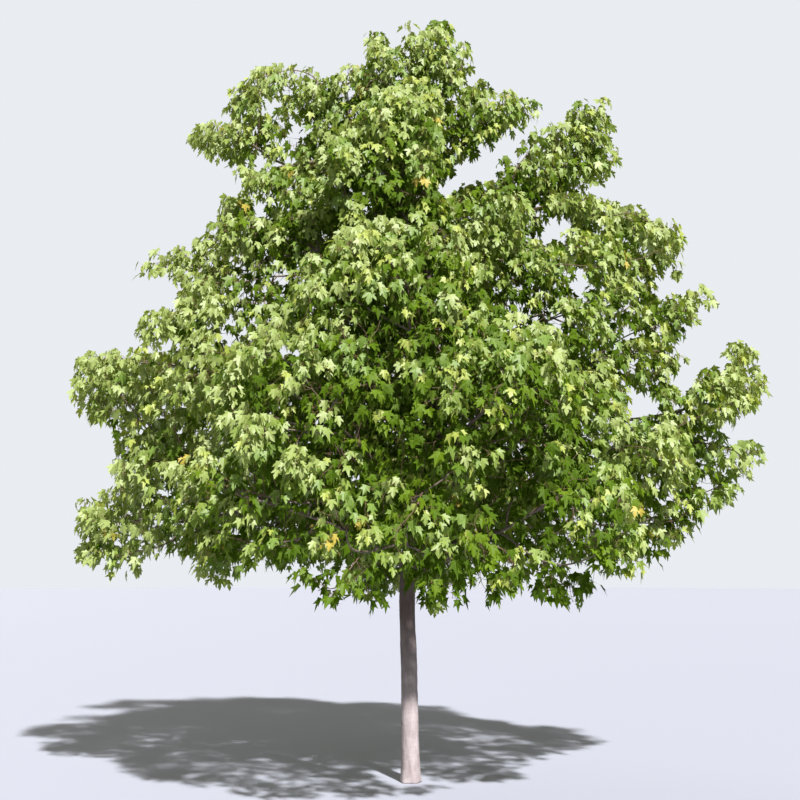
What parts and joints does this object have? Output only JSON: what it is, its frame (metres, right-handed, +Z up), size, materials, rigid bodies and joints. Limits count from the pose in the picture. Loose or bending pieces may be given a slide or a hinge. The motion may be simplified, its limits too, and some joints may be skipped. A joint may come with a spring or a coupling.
{
  "type": "maple tree",
  "caption": "Young maple tree in full summer leaf: a straight grey trunk with a slight root flare, rising boughs and a broad, rounded pyramid of separate masses of foliage.",
  "frame": {"origin": "middle of the flat cut under the trunk, at ground level", "axes": "+Z up the trunk, +X to the right and +Y to the back as the tree is seen from its front"},
  "size_m": [5.1268, 4.2059, 5.8361],
  "materials": {
    "bark": "smooth young light grey bark with fine shallow furrows, matt",
    "leaves": "fresh mid-green lobed leaves, yellower at the tips of the shoots, satin"
  },
  "bodies": {
    "root": {"bough_back_middle_left": "bark", "bough_back_middle_right": "bark", "bough_back_upper": "bark", "bough_front_middle_left": "bark", "bough_front_middle_right": "bark", "bough_front_upper": "bark", "bough_left_flank": "bark", "bough_left_shoulder": "bark", "bough_low_back": "bark", "bough_low_back_left": "bark", "bough_low_back_right": "bark", "bough_low_front": "bark", "bough_low_front_left": "bark", "bough_low_front_right": "bark", "bough_low_left": "bark", "bough_low_right": "bark", "bough_right_flank": "bark", "bough_right_middle": "bark", "bough_spire_shoulder": "bark", "bough_top_right_arm": "bark", "bough_upper_back": "bark", "bough_upper_front": "bark", "bough_upper_left_bridge": "bark", "leaves_back_middle_left": "leaves", "leaves_back_middle_right": "leaves", "leaves_back_upper": "leaves", "leaves_far_left": "leaves", "leaves_far_right": "leaves", "leaves_front_middle_left": "leaves", "leaves_front_middle_right": "leaves", "leaves_front_upper": "leaves", "leaves_left_flank": "leaves", "leaves_left_notch": "leaves", "leaves_left_point": "leaves", "leaves_left_shoulder": "leaves", "leaves_low_back": "leaves", "leaves_low_back_left": "leaves", "leaves_low_back_right": "leaves", "leaves_low_front": "leaves", "leaves_low_front_left": "leaves", "leaves_low_front_right": "leaves", "leaves_low_left": "leaves", "leaves_low_left_tip": "leaves", "leaves_low_right": "leaves", "leaves_low_right_tip": "leaves", "leaves_right_flank": "leaves", "leaves_right_middle": "leaves", "leaves_right_point": "leaves", "leaves_right_shoulder": "leaves", "leaves_right_spire": "leaves", "leaves_spire_shoulder": "leaves", "leaves_top": "leaves", "leaves_top_left_spire": "leaves", "leaves_top_right_arm": "leaves", "leaves_upper_back": "leaves", "leaves_upper_front": "leaves", "leaves_upper_left_bridge": "leaves", "leaves_upper_left_knob": "leaves", "leaves_upper_left_tip": "leaves", "trunk": "bark"}
  },
  "joints": []
}
